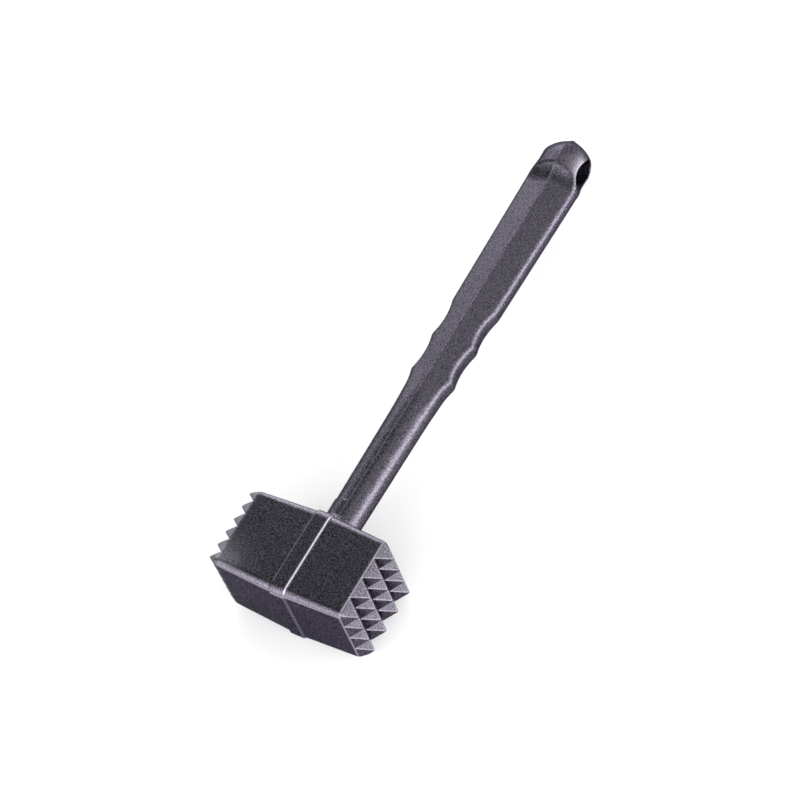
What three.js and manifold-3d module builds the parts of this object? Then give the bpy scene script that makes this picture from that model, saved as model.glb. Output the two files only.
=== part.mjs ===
// A meat mallet: two hollow castings that meet in the middle plane of head and handle, held by dowel pins.
// Millimetres, +Z up, lying on the side of its head. X runs through the two striking faces, with the
// large teeth at +X, and Y runs along the handle, away from the head. The origin is under the head's middle.
import * as THREE from "three";
import { mergeVertices } from "three/addons/utils/BufferGeometryUtils.js";
import Module from "manifold-3d";

const wasm = await Module();
wasm.setup();

// Head: a square block that narrows, and whose long edges sharpen, from the joint to both striking faces
const HEAD_SIZE = 45;
const HEAD_EDGE_RADIUS = 4.2;
const FINE_RIM_EDGE_RADIUS = 3.5;
const COARSE_RIM_EDGE_RADIUS = 1.9;
const HEAD_DRAFT_DEG = 2.85;
const HEAD_WALL = 5;
const STRIKING_WALL = 7.5;
const RIB_THICKNESS = 3;

// Striking faces: the grid of teeth reaches a little past the block's rim, and the outermost flanks are
// drawn in to a narrow land along it
const TOOTH_GRID_EXCESS = 0.5;
const TOOTH_LAND = 0.3;
const TOOTH_TIP_FLAT = 0.5;
const TOOTH_BED_DEPTH = 0.6;
const FINE_TOOTH_ROW_COUNT = 6;
const FINE_TOOTH_HEIGHT = 5.05;
const FINE_ROOT_DISTANCE = 34.1;
const COARSE_TOOTH_ROW_COUNT = 4;
const COARSE_TOOTH_HEIGHT = 6.65;
const COARSE_ROOT_DISTANCE = 32.5;

// Band round the joint: each casting carries half of it as a flange
const FLANGE_WIDTH = 3.4;
const FLANGE_RAISE = 0.55;

// Handle, stretch by stretch from the head to the eye
const NECK_LENGTH = 80;
const NECK_BASE_HALF_WIDTH = 8.65;
const NECK_TOP_HALF_WIDTH = 9.75;
const COLLAR_LENGTH = 14.3;
const COLLAR_RAISE = 0.55;
const LEAD_IN_LENGTH = 9.9;
const WAVE_PITCH = 20.5;
const WAVE_CREST_COUNT = 3;
const FIRST_CREST_HALF_WIDTH = 11.6;
const LAST_CREST_HALF_WIDTH = 12.4;
const SCALLOP_DEPTH = 1.7;
const GRIP_LENGTH = 75.6;
const GRIP_END_HALF_WIDTH = 13.9;
const SCOOP_LENGTH = 8;
const HANDLE_HALF_HEIGHT = 8;
const HANDLE_WALL = 3.2;
const HANDLE_END_WALL = 7;

// Roof section of the grip: two flats that meet in a low ridge, with round sides
const ROOF_SLOPE_DEG = 17.8;
const ROOF_EDGE_RADIUS = 4.3;
const ROOF_BLEND_LENGTH = 26;

// Eye at the handle's end, with its hanging hole
const EYE_HALF_WIDTH = 12.5;
const EYE_HALF_HEIGHT = 12.6;
const EYE_RIM_DROP = 0.3;
const EYE_SHOULDER_LENGTH = 3;
const EYE_RISE_LENGTH = 6;
const EYE_DOME_LENGTH = 13.5;
const HANGING_HOLE_RADIUS = 6.5;
const HOLE_MOUTH_RADIUS = 8;

// Dowel pins: their blind holes share one clearance
const PIN_CLEARANCE = 0.3;
const PIN_CHAMFER = 0.5;
const HEAD_PIN_RADIUS = 2.5;
const HEAD_PIN_LENGTH = 24;
const HEAD_PIN_OFFSET = 14;
const HEAD_BOSS_RADIUS = 5;
const HANDLE_PIN_RADIUS = 2;
const HANDLE_PIN_LENGTH = 11;
const HANDLE_BRIDGE_LENGTH = 10;

// Fineness of the facets, and the overrun of every cut past the faces that it opens
const CORNER_STEPS = 4;
const SIDE_STEPS = 4;
const WAVE_STEPS = 6;
const SCOOP_STEPS = 4;
const DOME_STEPS = 6;
const HOLE_STEPS = 32;
const PIN_STEPS = 16;
const CUT_OVERRUN = 10;

const HALF_HEAD = HEAD_SIZE / 2;
const DRAFT_SLOPE_SHARE = Math.tan(THREE.MathUtils.degToRad(HEAD_DRAFT_DEG));

// Distances along the handle, from the middle of the head
const NECK_TOP = HALF_HEAD + NECK_LENGTH;
const FIRST_CREST = NECK_TOP + LEAD_IN_LENGTH;
const LAST_CREST = FIRST_CREST + (WAVE_CREST_COUNT - 1) * WAVE_PITCH;
const GRIP_END = LAST_CREST + GRIP_LENGTH;
const EYE_RIM = GRIP_END + SCOOP_LENGTH;
const EYE_SHOULDER = EYE_RIM + EYE_SHOULDER_LENGTH;
const EYE_CENTRE = EYE_RIM + EYE_RISE_LENGTH;
const HANDLE_END = EYE_CENTRE + EYE_DOME_LENGTH;

const CAST_MATERIAL = { color: 0x3b3742, roughness: 0.5, metalness: 0.55, flatShading: true };
const PIN_MATERIAL = { color: 0xb4b6ba, roughness: 0.3, metalness: 1 };

// Solids from geometries and back

function toSolid(geometry) {
  const bare = geometry.clone();
  bare.deleteAttribute("normal");
  bare.deleteAttribute("uv");
  const merged = mergeVertices(bare);
  const mesh = new wasm.Mesh({
    numProp: 3,
    vertProperties: new Float32Array(merged.attributes.position.array),
    triVerts: new Uint32Array(merged.index.array),
  });
  return new wasm.Manifold(mesh);
}

function toGeometry(solid) {
  const mesh = solid.getMesh();
  const geometry = new THREE.BufferGeometry();
  geometry.setAttribute("position", new THREE.BufferAttribute(mesh.vertProperties, 3));
  geometry.setIndex(new THREE.BufferAttribute(mesh.triVerts, 1));
  geometry.computeVertexNormals();
  return geometry;
}

// A closed skin over sections of equal point counts, closed at each end by a fan round the end's tip
function loft(sections, startTip, endTip) {
  const count = sections[0].length;
  const points = [...sections.flat(), startTip, endTip];
  const start = points.length - 2;
  const end = points.length - 1;
  const last = (sections.length - 1) * count;
  const index = [];
  for (let j = 0; j < count; j += 1) {
    const next = (j + 1) % count;
    for (let i = 0; i < last; i += count) {
      index.push(i + j, i + next, i + count + next);
      index.push(i + j, i + count + next, i + count + j);
    }
    index.push(start, next, j);
    index.push(end, last + j, last + next);
  }
  const geometry = new THREE.BufferGeometry().setFromPoints(points);
  geometry.setIndex(index);
  return geometry;
}

// A round bar along X, as long to one side of the joint as to the other, at a given place in the YZ plane
function barAcrossJoint(reach, radius, { y, z }) {
  const bar = new THREE.CylinderGeometry(radius, radius, 2 * reach, PIN_STEPS);
  bar.rotateZ(-Math.PI / 2);
  bar.translate(0, y, z);
  return toSolid(bar);
}

function boxBetween(low, high) {
  const size = new THREE.Vector3().subVectors(high, low);
  const middle = new THREE.Vector3().addVectors(low, high).divideScalar(2);
  const box = new THREE.BoxGeometry(size.x, size.y, size.z);
  box.translate(middle.x, middle.y, middle.z);
  return toSolid(box);
}

// Head

function roundedSquare(x, half, radius) {
  const points = [];
  for (let corner = 0; corner < 4; corner += 1) {
    for (let step = 0; step <= CORNER_STEPS; step += 1) {
      const angle = (corner + step / CORNER_STEPS) * (Math.PI / 2);
      const sideways = corner === 0 || corner === 3 ? 1 : -1;
      const upwards = corner < 2 ? 1 : -1;
      const y = sideways * (half - radius) + radius * Math.cos(angle);
      const z = upwards * (half - radius) + radius * Math.sin(angle);
      points.push(new THREE.Vector3(x, y, z));
    }
  }
  return points;
}

// A square bar along +X with round edges, which narrows by the casting's draft. Its edges go evenly from the
// radius at the joint to the radius at the rim.
function draftedBar(from, to, halfAtJoint, radius, rim = { x: to, radius }) {
  const sections = [from, to].map((x) => {
    const edgeRadius = THREE.MathUtils.lerp(radius, rim.radius, x / rim.x);
    return roundedSquare(x, halfAtJoint - x * DRAFT_SLOPE_SHARE, edgeRadius);
  });
  return toSolid(loft(sections, new THREE.Vector3(from, 0, 0), new THREE.Vector3(to, 0, 0)));
}

// Pushes the triangles of a flat face with the given corners
function pushFace(positions, corners) {
  for (let i = 2; i < corners.length; i += 1) {
    for (const point of [corners[0], corners[i - 1], corners[i]]) {
      positions.push(point.x, point.y, point.z);
    }
  }
}

function rimHalfWidth(face) {
  return HALF_HEAD - face.rootDistance * DRAFT_SLOPE_SHARE;
}

// The corners of one tooth's foot, each with whether the edge after it lies on the land along the rim. The
// outermost lines of the grid are drawn in to the land, and the corners of the whole field are cut to fit
// inside the block's round edges.
function toothFoot(face, pitch, row, column) {
  const last = face.rowCount - 1;
  const reach = rimHalfWidth(face) - TOOTH_LAND;
  const cut = (2 - Math.SQRT2) * (face.rimEdgeRadius - TOOTH_LAND);
  const line = (index) => THREE.MathUtils.clamp((index - face.rowCount / 2) * pitch, -reach, reach);
  const corners = [[0, 0], [1, 0], [1, 1], [0, 1]].map(([down, along]) => (
    new THREE.Vector3(face.rootDistance, line(row + down), line(column + along))
  ));
  const onRim = [column === 0, row === last, column === last, row === 0];
  const towards = (from, to) => to.clone().sub(from).setLength(cut).add(from);
  return corners.flatMap((corner, side) => {
    const before = (side + 3) % 4;
    if (!onRim[before] || !onRim[side]) {
      return [{ place: corner, onRim: onRim[side] }];
    }
    const cuts = [towards(corner, corners[before]), towards(corner, corners[(side + 1) % 4])];
    return cuts.map((place) => ({ place, onRim: true }));
  });
}

// All pyramids of one striking face on a thin bed: flanks and a small flat tip over each cell of a grid
function toothField(face) {
  const count = face.rowCount;
  const pitch = 2 * (rimHalfWidth(face) + TOOTH_GRID_EXCESS) / count;
  const tipShare = TOOTH_TIP_FLAT / pitch;
  const positions = [];
  for (let row = 0; row < count; row += 1) {
    for (let column = 0; column < count; column += 1) {
      const foot = toothFoot(face, pitch, row, column);
      const roots = foot.map(({ place }) => place);
      const beds = roots.map((root) => root.clone().setX(face.rootDistance - TOOTH_BED_DEPTH));
      const tip = new THREE.Vector3(
        face.rootDistance,
        (row + 1 / 2 - count / 2) * pitch,
        (column + 1 / 2 - count / 2) * pitch,
      );
      const tips = roots.map((root) => tip.clone().lerp(root, tipShare).setX(root.x + face.toothHeight));
      pushFace(positions, tips);
      pushFace(positions, [...beds].reverse());
      foot.forEach(({ onRim }, side) => {
        const next = (side + 1) % foot.length;
        pushFace(positions, [roots[side], roots[next], tips[next], tips[side]]);
        if (onRim) {
          pushFace(positions, [beds[side], beds[next], roots[next], roots[side]]);
        }
      });
    }
  }
  const geometry = new THREE.BufferGeometry();
  geometry.setAttribute("position", new THREE.Float32BufferAttribute(positions, 3));
  return toSolid(geometry);
}

function headBlock(face) {
  const reach = face.rootDistance - TOOTH_BED_DEPTH / 2;
  const rim = { x: face.rootDistance, radius: face.rimEdgeRadius };
  return draftedBar(-CUT_OVERRUN, reach, HALF_HEAD, HEAD_EDGE_RADIUS, rim).add(toothField(face));
}

function flange() {
  const half = HALF_HEAD + FLANGE_RAISE;
  const radius = HEAD_EDGE_RADIUS + FLANGE_RAISE;
  const sections = [-FLANGE_WIDTH, FLANGE_WIDTH].map((x) => roundedSquare(x, half, radius));
  const tips = [-FLANGE_WIDTH, FLANGE_WIDTH].map((x) => new THREE.Vector3(x, 0, 0));
  return toSolid(loft(sections, ...tips));
}

function headPinPlaces() {
  const signs = [[1, 1], [-1, 1], [-1, -1], [1, -1]];
  return signs.map(([y, z]) => ({ y: y * HEAD_PIN_OFFSET, z: z * HEAD_PIN_OFFSET }));
}

// The hollow of one half of the head, round its four pin bosses and the crossed ribs behind the striking face
function headHollow(face) {
  const depth = face.rootDistance - STRIKING_WALL;
  const halfInside = HALF_HEAD - HEAD_WALL;
  let hollow = draftedBar(-CUT_OVERRUN, depth, halfInside, HEAD_EDGE_RADIUS);
  for (const place of headPinPlaces()) {
    hollow = hollow.subtract(barAcrossJoint(depth + CUT_OVERRUN, HEAD_BOSS_RADIUS, place));
  }
  const ribs = [[RIB_THICKNESS / 2, HEAD_SIZE], [HEAD_SIZE, RIB_THICKNESS / 2]];
  for (const [halfY, halfZ] of ribs) {
    const rib = boxBetween(
      new THREE.Vector3(-2 * CUT_OVERRUN, -halfY, -halfZ),
      new THREE.Vector3(depth + CUT_OVERRUN, halfY, halfZ),
    );
    hollow = hollow.subtract(rib);
  }
  return hollow;
}

// Handle

// Half widths along the handle: straight neck, finger waves with sharp crests, straight grip
function halfWidthAt(y) {
  if (y <= NECK_TOP) {
    return THREE.MathUtils.mapLinear(y, HALF_HEAD, NECK_TOP, NECK_BASE_HALF_WIDTH, NECK_TOP_HALF_WIDTH);
  }
  if (y <= FIRST_CREST) {
    const along = (y - NECK_TOP) / LEAD_IN_LENGTH;
    return THREE.MathUtils.lerp(NECK_TOP_HALF_WIDTH, FIRST_CREST_HALF_WIDTH, along * along);
  }
  if (y <= LAST_CREST) {
    const pitches = (y - FIRST_CREST) / WAVE_PITCH;
    const along = pitches - Math.floor(pitches);
    const share = pitches / (WAVE_CREST_COUNT - 1);
    const crestLine = THREE.MathUtils.lerp(FIRST_CREST_HALF_WIDTH, LAST_CREST_HALF_WIDTH, share);
    return crestLine - SCALLOP_DEPTH * 4 * along * (1 - along);
  }
  return THREE.MathUtils.mapLinear(y, LAST_CREST, GRIP_END, LAST_CREST_HALF_WIDTH, GRIP_END_HALF_WIDTH);
}

// How far the round neck has turned into the roof section
function roofShareAt(y) {
  return THREE.MathUtils.smoothstep(y, FIRST_CREST - ROOF_BLEND_LENGTH, FIRST_CREST);
}

function stations(from, to, steps) {
  return Array.from({ length: steps }, (_, i) => THREE.MathUtils.lerp(from, to, i / steps));
}

// Rings from inside the head to the start of the scoop
function shaftRings(from, to) {
  const places = [from, HALF_HEAD, ...stations(HALF_HEAD, NECK_TOP, WAVE_STEPS).slice(1)];
  places.push(...stations(NECK_TOP, FIRST_CREST, WAVE_STEPS));
  places.push(...stations(FIRST_CREST, LAST_CREST, WAVE_STEPS * (WAVE_CREST_COUNT - 1)));
  places.push(LAST_CREST, to);
  const inside = places.filter((y) => y >= from && y <= to);
  return inside.map((y) => ({
    y,
    halfWidth: halfWidthAt(y),
    halfHeight: HANDLE_HALF_HEIGHT,
    edgeRadius: ROOF_EDGE_RADIUS,
    roofShare: roofShareAt(y),
  }));
}

// Rings of the scoop, whose floor curves up in an arc to the rim of the eye
function scoopRings() {
  const rimHeight = EYE_HALF_HEIGHT - EYE_RIM_DROP;
  const rise = rimHeight - HANDLE_HALF_HEIGHT;
  const arcRadius = (SCOOP_LENGTH * SCOOP_LENGTH + rise * rise) / (2 * rise);
  return stations(GRIP_END, EYE_RIM, SCOOP_STEPS).slice(1).map((y) => {
    const run = y - GRIP_END;
    const lift = arcRadius - Math.sqrt(arcRadius * arcRadius - run * run);
    return {
      y,
      halfWidth: GRIP_END_HALF_WIDTH,
      halfHeight: HANDLE_HALF_HEIGHT + lift,
      edgeRadius: ROOF_EDGE_RADIUS,
      roofShare: 1 - lift / rise,
    };
  });
}

// Rings of the eye: a rim, a shoulder and a dome whose rings close on the end of the handle
function eyeRings() {
  const rimWidth = (GRIP_END_HALF_WIDTH + EYE_HALF_WIDTH) / 2;
  const rings = [
    { y: EYE_RIM, halfWidth: rimWidth, halfHeight: EYE_HALF_HEIGHT - EYE_RIM_DROP },
    { y: EYE_SHOULDER, halfWidth: EYE_HALF_WIDTH, halfHeight: EYE_HALF_HEIGHT },
  ];
  for (let step = 0; step < DOME_STEPS; step += 1) {
    const angle = (step / DOME_STEPS) * (Math.PI / 2);
    rings.push({
      y: EYE_CENTRE + EYE_DOME_LENGTH * Math.sin(angle),
      halfWidth: EYE_HALF_WIDTH * Math.cos(angle),
      halfHeight: EYE_HALF_HEIGHT * Math.cos(angle),
    });
  }
  return rings.map((ring) => ({ ...ring, edgeRadius: ROOF_EDGE_RADIUS, roofShare: 0 }));
}

// The +X half of a section, from the top ridge round the side to the bottom ridge, as an oval
function ovalSide(halfWidth, halfHeight) {
  const count = 2 * SIDE_STEPS + 3;
  return Array.from({ length: count + 1 }, (_, i) => {
    const angle = (i / count) * Math.PI;
    return [halfWidth * Math.sin(angle), halfHeight * Math.cos(angle)];
  });
}

// The same half as a roof: each flat runs from its ridge to the round side that it is tangent to,
// and the side's radius is at most the one at which the upper and the lower round meet
function roofSide(halfWidth, halfHeight, edgeRadius) {
  const slope = THREE.MathUtils.degToRad(ROOF_SLOPE_DEG);
  const sideHeight = halfHeight - halfWidth * Math.tan(slope);
  const meetingRadius = sideHeight / (Math.cos(slope) - (1 - Math.sin(slope)) * Math.tan(slope));
  const radius = Math.min(edgeRadius, meetingRadius);
  const centreX = halfWidth - radius;
  const touchX = centreX + radius * Math.sin(slope);
  const centreZ = halfHeight - touchX * Math.tan(slope) - radius * Math.cos(slope);
  const upper = Array.from({ length: SIDE_STEPS + 1 }, (_, i) => {
    const angle = THREE.MathUtils.lerp(slope, Math.PI / 2, i / SIDE_STEPS);
    return [centreX + radius * Math.sin(angle), centreZ + radius * Math.cos(angle)];
  });
  const lower = upper.map(([x, z]) => [x, -z]).reverse();
  return [[0, halfHeight], ...upper, ...lower, [0, -halfHeight]];
}

function handleSection({ y, halfWidth, halfHeight, edgeRadius, roofShare }) {
  const oval = ovalSide(halfWidth, halfHeight);
  const roof = roofShare === 0 ? oval : roofSide(halfWidth, halfHeight, edgeRadius);
  const right = oval.map(([x, z], i) => new THREE.Vector3(
    THREE.MathUtils.lerp(x, roof[i][0], roofShare),
    y,
    THREE.MathUtils.lerp(z, roof[i][1], roofShare),
  ));
  const left = right.slice(1, -1).reverse().map((point) => new THREE.Vector3(-point.x, y, point.z));
  return [...right, ...left];
}

function handleLoft(rings, endTip) {
  const startTip = new THREE.Vector3(0, rings[0].y, 0);
  return toSolid(loft(rings.map(handleSection), startTip, new THREE.Vector3(0, endTip, 0)));
}

function handleBody() {
  const root = HALF_HEAD - HEAD_WALL / 2;
  return handleLoft([...shaftRings(root, GRIP_END), ...scoopRings(), ...eyeRings()], HANDLE_END);
}

// The raised collar at the foot of the neck
function collar() {
  const root = HALF_HEAD - HEAD_WALL / 2;
  const top = HALF_HEAD + COLLAR_LENGTH;
  const rings = [root, top].map((y) => ({
    y,
    halfWidth: halfWidthAt(y) + COLLAR_RAISE,
    halfHeight: HANDLE_HALF_HEIGHT + COLLAR_RAISE,
    edgeRadius: ROOF_EDGE_RADIUS,
    roofShare: 0,
  }));
  return handleLoft(rings, top);
}

function handlePinPlaces() {
  const low = HALF_HEAD + HANDLE_END_WALL + 1.5 * HANDLE_BRIDGE_LENGTH;
  const high = GRIP_END - HANDLE_END_WALL - 1.5 * HANDLE_BRIDGE_LENGTH;
  return [low, (low + high) / 2, high].map((y) => ({ y, z: 0 }));
}

// The hollow of the handle, with a solid bridge from wall to wall at each pin
function handleHollow() {
  const from = HALF_HEAD + HANDLE_END_WALL;
  const to = GRIP_END - HANDLE_END_WALL;
  const rings = shaftRings(from, to).map((ring) => ({
    ...ring,
    halfWidth: ring.halfWidth - HANDLE_WALL,
    halfHeight: ring.halfHeight - HANDLE_WALL,
    edgeRadius: ring.edgeRadius - HANDLE_WALL,
  }));
  let hollow = handleLoft(rings, to);
  for (const { y } of handlePinPlaces()) {
    const bridge = boxBetween(
      new THREE.Vector3(-HEAD_SIZE, y - HANDLE_BRIDGE_LENGTH / 2, -HEAD_SIZE),
      new THREE.Vector3(HEAD_SIZE, y + HANDLE_BRIDGE_LENGTH / 2, HEAD_SIZE),
    );
    hollow = hollow.subtract(bridge);
  }
  return hollow;
}

function circle(x, radius, centreY) {
  return Array.from({ length: HOLE_STEPS }, (_, i) => {
    const angle = (i / HOLE_STEPS) * 2 * Math.PI;
    return new THREE.Vector3(x, centreY + radius * Math.cos(angle), radius * Math.sin(angle));
  });
}

// The hanging hole, which flares where it meets the eye's skin
function hangingHole() {
  const flare = HOLE_MOUTH_RADIUS - HANGING_HOLE_RADIUS;
  const sideShare = Math.sqrt(1 - (HOLE_MOUTH_RADIUS / EYE_HALF_HEIGHT) ** 2);
  const mouth = EYE_HALF_WIDTH * sideShare;
  const outside = mouth + CUT_OVERRUN;
  const profile = [
    [-outside, HANGING_HOLE_RADIUS],
    [mouth - flare, HANGING_HOLE_RADIUS],
    [mouth, HOLE_MOUTH_RADIUS],
    [outside, HOLE_MOUTH_RADIUS],
  ];
  const sections = profile.map(([x, radius]) => circle(x, radius, EYE_CENTRE));
  const tips = [-outside, outside].map((x) => new THREE.Vector3(x, EYE_CENTRE, 0));
  return toSolid(loft(sections, ...tips));
}

// One casting: the +X half of head, flange, handle and eye, hollow and open at the joint

function pinHoles() {
  const holes = [];
  const groups = [
    { places: headPinPlaces(), radius: HEAD_PIN_RADIUS, length: HEAD_PIN_LENGTH },
    { places: handlePinPlaces(), radius: HANDLE_PIN_RADIUS, length: HANDLE_PIN_LENGTH },
  ];
  for (const { places, radius, length } of groups) {
    const depth = length / 2 + PIN_CLEARANCE;
    const wall = radius + PIN_CLEARANCE;
    holes.push(...places.map((place) => barAcrossJoint(depth, wall, place)));
  }
  return holes;
}

function casting(face) {
  let body = headBlock(face).add(flange()).add(handleBody());
  if (face.hasCollar) {
    body = body.add(collar());
  }
  const cuts = [headHollow(face), handleHollow(), hangingHole(), ...pinHoles()];
  for (const cut of cuts) {
    body = body.subtract(cut);
  }
  const halfSpace = boxBetween(
    new THREE.Vector3(0, -HEAD_SIZE, -HEAD_SIZE),
    new THREE.Vector3(2 * HEAD_SIZE, HANDLE_END + HEAD_SIZE, HEAD_SIZE),
  );
  return toGeometry(body.intersect(halfSpace));
}

function castingMesh(name, face) {
  const mesh = new THREE.Mesh(casting(face), new THREE.MeshStandardMaterial(CAST_MATERIAL));
  mesh.name = name;
  return mesh;
}

// Dowel pins

function pinGeometry(radius, length) {
  const half = length / 2;
  const profile = [
    [0, -half],
    [radius - PIN_CHAMFER, -half],
    [radius, -half + PIN_CHAMFER],
    [radius, half - PIN_CHAMFER],
    [radius - PIN_CHAMFER, half],
    [0, half],
  ];
  const points = profile.map(([x, y]) => new THREE.Vector2(x, y));
  return new THREE.LatheGeometry(points, PIN_STEPS);
}

function pinMeshes(name, places, radius, length) {
  return places.map(({ y, z }, i) => {
    const pin = new THREE.Mesh(pinGeometry(radius, length), new THREE.MeshStandardMaterial(PIN_MATERIAL));
    pin.name = `${name}_${i + 1}`;
    pin.rotation.z = -Math.PI / 2;
    pin.position.set(0, y, z);
    return pin;
  });
}

// Assembly: the casting with the small teeth is turned half a turn about the handle, to meet the other one

const coarseFace = {
  rowCount: COARSE_TOOTH_ROW_COUNT,
  toothHeight: COARSE_TOOTH_HEIGHT,
  rootDistance: COARSE_ROOT_DISTANCE,
  rimEdgeRadius: COARSE_RIM_EDGE_RADIUS,
  hasCollar: false,
};

const fineFace = {
  rowCount: FINE_TOOTH_ROW_COUNT,
  toothHeight: FINE_TOOTH_HEIGHT,
  rootDistance: FINE_ROOT_DISTANCE,
  rimEdgeRadius: FINE_RIM_EDGE_RADIUS,
  hasCollar: true,
};

const mallet = new THREE.Group();
mallet.position.z = HALF_HEAD + FLANGE_RAISE;

const fineCasting = castingMesh("fine_side_casting", fineFace);
fineCasting.rotation.y = Math.PI;
mallet.add(castingMesh("coarse_side_casting", coarseFace));
mallet.add(fineCasting);
mallet.add(...pinMeshes("head_dowel", headPinPlaces(), HEAD_PIN_RADIUS, HEAD_PIN_LENGTH));
mallet.add(...pinMeshes("handle_dowel", handlePinPlaces(), HANDLE_PIN_RADIUS, HANDLE_PIN_LENGTH));

export default mallet;
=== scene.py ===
"""Studio scene of a meat mallet: two coated castings joined face to face, with teeth at both ends."""
import logging
from dataclasses import dataclass, field
from enum import Enum
from math import cos, radians, sin
from typing import Callable

import bmesh
import bpy
import numpy as np
from mathutils import Matrix, Vector


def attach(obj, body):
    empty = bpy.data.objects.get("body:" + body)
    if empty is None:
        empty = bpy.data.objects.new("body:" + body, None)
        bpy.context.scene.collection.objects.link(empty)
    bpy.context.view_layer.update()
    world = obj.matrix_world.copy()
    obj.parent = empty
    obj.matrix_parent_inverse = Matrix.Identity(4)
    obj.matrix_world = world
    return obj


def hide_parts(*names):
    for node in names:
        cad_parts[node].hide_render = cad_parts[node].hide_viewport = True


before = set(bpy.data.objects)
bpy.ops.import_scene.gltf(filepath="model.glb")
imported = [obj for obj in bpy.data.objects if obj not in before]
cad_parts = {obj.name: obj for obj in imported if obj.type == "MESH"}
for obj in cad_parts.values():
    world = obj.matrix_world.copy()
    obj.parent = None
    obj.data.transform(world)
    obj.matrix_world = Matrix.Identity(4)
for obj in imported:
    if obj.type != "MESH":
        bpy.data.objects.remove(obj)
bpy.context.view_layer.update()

LOG = logging.getLogger("meat_mallet")
MM = 0.001
BODY = "root"
# Vertex attribute that lightens the coating: real wear on the teeth's edges, and painted highlights on the
# teeth's faces, the head's corners, rims and band sides, and in two patches.
WEAR_AND_HIGHLIGHT = "wear"
TINY = 1e-6

Array = np.ndarray
Distance = Callable[[Array, Array, Array], Array]


class Side(Enum):
    """Which half of the mallet a casting is: the sign of x on its side of the joint plane."""

    COARSE = 1
    FINE = -1


def round_meet(first: Array, second: Array, radius: float) -> Array:
    """Keeps what lies in both of two solids and rounds the edge between them.

    Where both distances are above minus the radius, the result is the length of the two excesses taken as the
    legs of a right triangle, less the radius. Elsewhere it is the larger distance.

    Args:
        first: Signed distance from the first solid, negative inside.
        second: Signed distance from the second solid.
        radius: Radius of the rounded edge.

    Returns:
        Signed distance from the common solid.
    """
    legs = np.hypot(np.maximum(first + radius, 0), np.maximum(second + radius, 0))
    return np.minimum(np.maximum(first, second), -radius) + legs


def round_join(first: Array, second: Array, radius: float) -> Array:
    """Joins two solids with a fillet, as round_meet does with everything turned inside out.

    Args:
        first: Signed distance from the first solid, negative inside.
        second: Signed distance from the second solid.
        radius: Radius of the fillet.

    Returns:
        Signed distance from the joined solid.
    """
    return -round_meet(-first, -second, radius)


def ellipse_distance(places: list[Array], radii: list[Array | float]) -> Array:
    """Approximates the distance from an ellipse or ellipsoid centred on zero.

    With k the length of the place over the radii, and g the length of the place over the squared radii, the
    distance is k times (k - 1) over g.

    Args:
        places: One coordinate array for each axis.
        radii: The half axes, in the same order.

    Returns:
        Signed distance, negative inside.
    """
    reach = np.sqrt(sum((place / radius) ** 2 for place, radius in zip(places, radii)))
    steep = np.sqrt(sum((place / radius**2) ** 2 for place, radius in zip(places, radii)))
    return reach * (reach - 1) / np.maximum(steep, TINY)


def smooth_step(value: Array, start: float, end: float) -> Array:
    """Rises from 0 at start to 1 at end as three times the squared share less twice its cube."""
    share = np.clip((value - start) / (end - start), 0, 1)
    return share * share * (3 - 2 * share)


@dataclass(frozen=True)
class Teeth:
    """The square pyramids on one striking face. Lengths are in millimetres.

    Args:
        rows: Number of teeth along each side of the face, an even number.
        pitch: Distance between neighbouring tips.
        root: Distance from the joint plane to the foot of the teeth.
        height: Height that the flanks would reach if they met in a point.
        point_radius: How blunt the crests of the ridges are.
        ridge_radius: Radius of the edges between the flanks.
    """

    rows: int
    pitch: float
    root: float
    height: float
    point_radius: float = 0.22
    ridge_radius: float = 0.3

    def ridge(self, depth: Array, across: Array) -> Array:
        """Distance from a row of straight ridges, whose section is a zigzag with rounded crests.

        The depth of the zigzag falls from the crest by its slope times the square root of the squared
        distance to the nearest crest plus the squared point radius.

        Args:
            depth: Distance from the joint plane.
            across: Coordinate square to the ridges.

        Returns:
            Signed distance, negative inside.
        """
        slope = 2 * self.height / self.pitch
        off_crest = (np.mod(across / self.pitch, 1) - 0.5) * self.pitch
        fall = slope * np.hypot(off_crest, self.point_radius)
        return (depth - self.root - self.height + fall) / np.hypot(1, slope)

    def distance(self, depth: Array, y: Array, z: Array, inset: Array, rim_half: float) -> Array:
        """Distance from the toothed face, which is all three of two rows of ridges and a flank along the rim.

        The flank rises from the rim to the outermost crests, by its slope for each millimetre inwards.

        Args:
            depth: Distance from the joint plane.
            y: Coordinate along the handle.
            z: Height above the middle of the head.
            inset: Distance inwards from the rim of the face.
            rim_half: Half width of the face at the foot of the teeth.

        Returns:
            Signed distance, negative inside.
        """
        outermost = self.pitch * (self.rows - 1) / 2
        slope = self.height / (rim_half - outermost)
        flank = (depth - self.root - slope * inset) / np.hypot(1, slope)
        teeth = round_meet(self.ridge(depth, y), self.ridge(depth, z), self.ridge_radius)
        return round_meet(teeth, flank, self.ridge_radius)


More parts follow.
